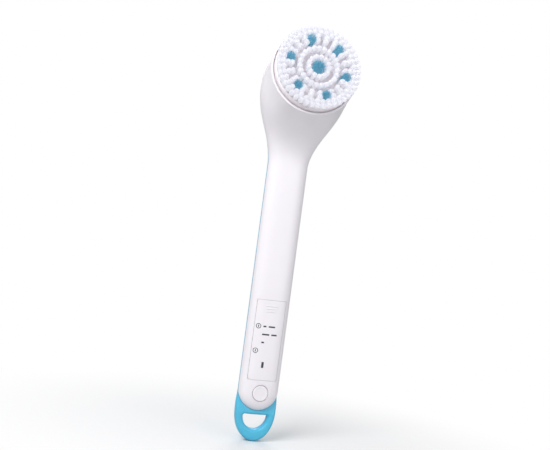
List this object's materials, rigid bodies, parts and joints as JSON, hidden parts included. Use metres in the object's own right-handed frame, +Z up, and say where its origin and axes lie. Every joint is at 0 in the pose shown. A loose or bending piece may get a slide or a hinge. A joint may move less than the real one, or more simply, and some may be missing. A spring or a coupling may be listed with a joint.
{
  "type": "facial cleansing brush",
  "caption": "Battery facial cleansing brush: slim two-shell handle with hanging loop, angled head and a geared spinning bristle disc that pulls off.",
  "frame": {"origin": "centre of the D-shaped hanging hole, on the axis of the handle", "axes": "+Z up the handle to the head, -Y out of the front (the brush side), +X to the right seen from the front"},
  "size_m": [0.0708, 0.0766, 0.3366],
  "materials": {
    "white_shell": "smooth satin-gloss moulded ABS",
    "blue_shell": "light blue moulded plastic",
    "gasket": "soft silicone",
    "switch": "stamped tin-plated case",
    "black_plastic": "moulded black plastic",
    "board": "green solder mask",
    "component": "moulded component packages",
    "steel": "zinc-plated steel",
    "spring": "drawn spring wire",
    "cell": "printed sleeve on a steel can",
    "wire_red": "pvc insulation",
    "wire_black": "pvc insulation",
    "magnet": "sintered ferrite",
    "copper": "wound armature",
    "brass": "turned brass",
    "nylon": "natural nylon or acetal",
    "bristle_white": "fine white nylon filament",
    "bristle_blue": "fine teal-blue nylon filament",
    "brush_base": "white moulded plastic"
  },
  "bodies": {
    "housing": {"front_shell": "white_shell", "rear_shell": "blue_shell", "shell_seal": "gasket", "switch_body": "switch", "control_board": "board", "board_components": "component", "board_screws": "steel", "batteries": "cell", "battery_springs": "spring", "contact_plates": "spring", "battery_leads": "wire_red", "motor_leads": "wire_black", "motor_can": "steel", "motor_magnets": "magnet", "motor_end_cap": "nylon", "motor_screws": "steel", "gearbox_base": "black_plastic", "gearbox_cover": "black_plastic", "gearbox_screws": "steel", "gear_pin": "steel", "spindle_bush": "brass", "spindle_seal": "gasket", "thrust_washer": "black_plastic", "shell_screws": "steel"},
    "battery_door": {"battery_door": "white_shell"},
    "power_button": {"power_button": "white_shell"},
    "switch_plunger": {"switch_plunger": "black_plastic"},
    "rotor": {"motor_rotor": "copper", "motor_pinion": "brass"},
    "compound_gear": {"compound_gear": "nylon"},
    "output_drive": {"output_gear": "nylon", "output_spindle": "steel"},
    "brush_head": {"brush_base": "brush_base", "white_tufts": "bristle_white", "blue_tufts": "bristle_blue"}
  },
  "joints": [
    {"name": "brush_spin", "type": "hinge", "parent": "housing", "child": "output_drive", "pos_m": [0, -0.045, 0.286], "axis": [0, -0.9677, 0.2521], "continuous": true},
    {"name": "compound_spin", "type": "hinge", "parent": "housing", "child": "compound_gear", "pos_m": [-0.01522, -0.0464, 0.28064], "axis": [0, -0.9677, 0.2521], "continuous": true},
    {"name": "rotor_spin", "type": "hinge", "parent": "housing", "child": "rotor", "pos_m": [-0.00264, -0.04846, 0.27273], "axis": [0, -0.9677, 0.2521], "continuous": true},
    {"name": "brush_pull", "type": "slide", "parent": "output_drive", "child": "brush_head", "axis": [0, -0.9677, 0.2521], "range_m": [0, 0.02]},
    {"name": "button_press", "type": "slide", "parent": "housing", "child": "power_button", "axis": [0, 1, 0], "range_m": [0, 0.0006]},
    {"name": "plunger_slide", "type": "slide", "parent": "housing", "child": "switch_plunger", "axis": [0, 1, 0], "range_m": [0, 0.0006]},
    {"name": "door_hinge", "type": "hinge", "parent": "housing", "child": "battery_door", "pos_m": [0, -0.01025, 0.036], "axis": [1, 0, 0], "range_deg": [0, 70]}
  ],
  "couplings": [
    {"joint": "compound_spin", "follows": "brush_spin", "ratio": -4.4},
    {"joint": "rotor_spin", "follows": "brush_spin", "ratio": 17.6},
    {"joint": "plunger_slide", "follows": "button_press", "ratio": 1}
  ]
}
